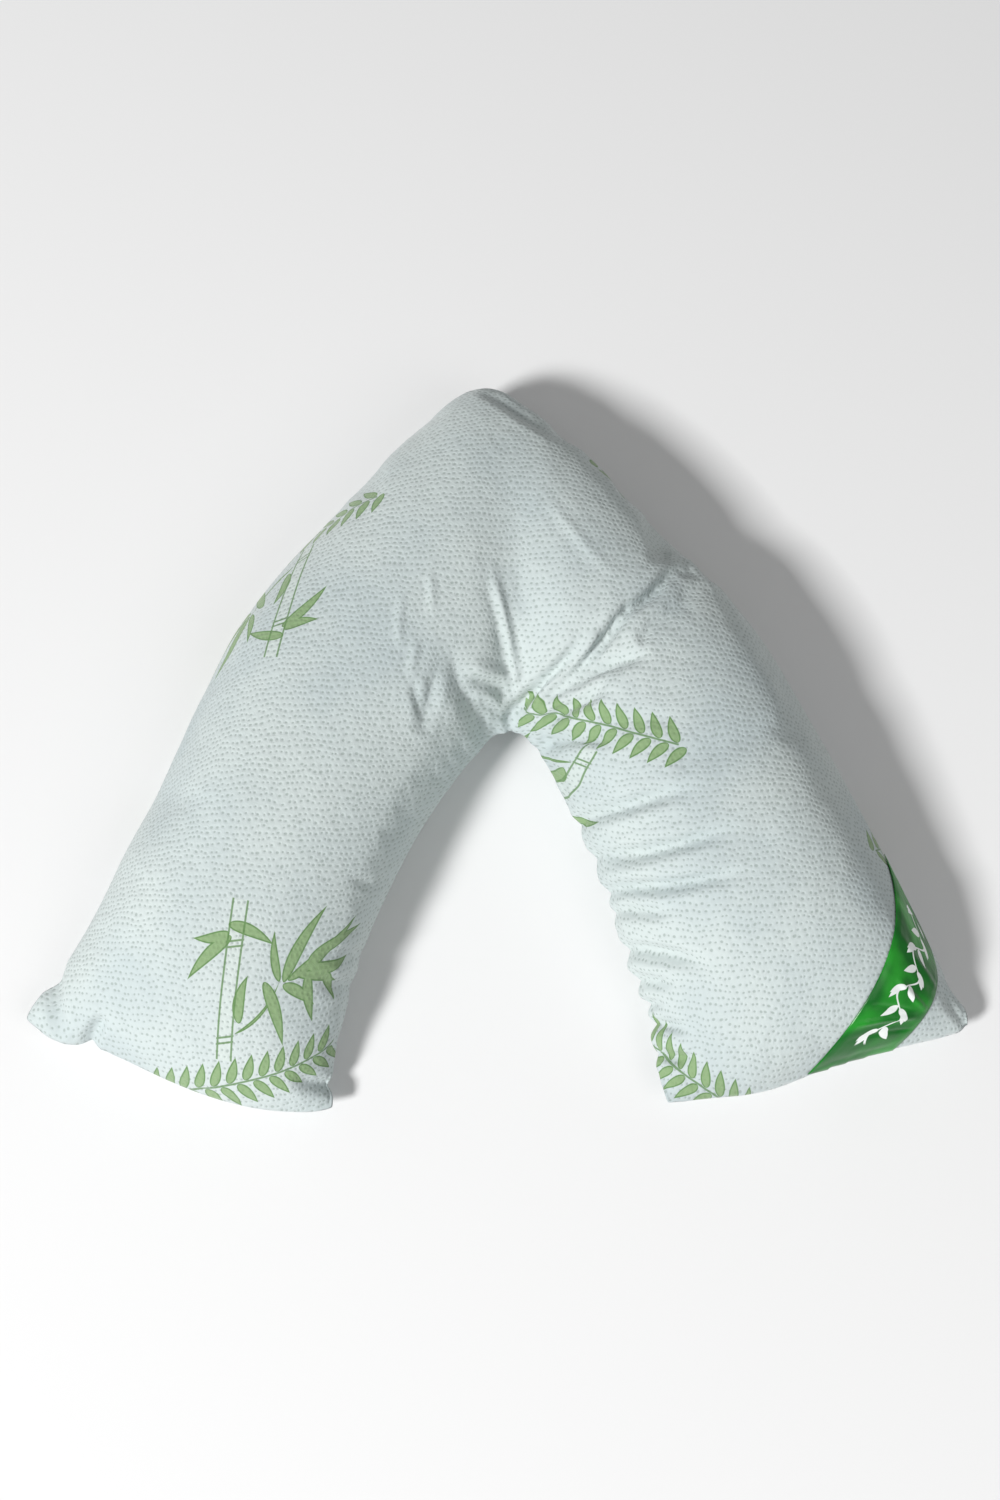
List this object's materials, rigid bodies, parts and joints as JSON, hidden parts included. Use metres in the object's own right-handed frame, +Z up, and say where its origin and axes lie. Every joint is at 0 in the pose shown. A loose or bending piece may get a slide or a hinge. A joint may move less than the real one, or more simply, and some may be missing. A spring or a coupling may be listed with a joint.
{
  "type": "v shaped pillow",
  "caption": "V-shaped filled bed pillow with a dotted knitted cover, lying on its back, and a satin ribbon sewn across the outer corner of one leg.",
  "frame": {"origin": "on the surface the pillow lies on, under the middle of its box", "axes": "+Z up, out of the front panel; +X across the two legs, towards the leg with the ribbon; +Y towards the V's apex"},
  "size_m": [0.9246, 0.7454, 0.1524],
  "materials": {
    "cover_cloth": "soft matt double knit, pale blue-grey, with rows of small darker dimples and a few green bamboo sprigs",
    "ribbon_satin": "glossy green satin weave"
  },
  "bodies": {
    "root": {"pillow": "cover_cloth", "corner_ribbon": "ribbon_satin"}
  },
  "joints": []
}
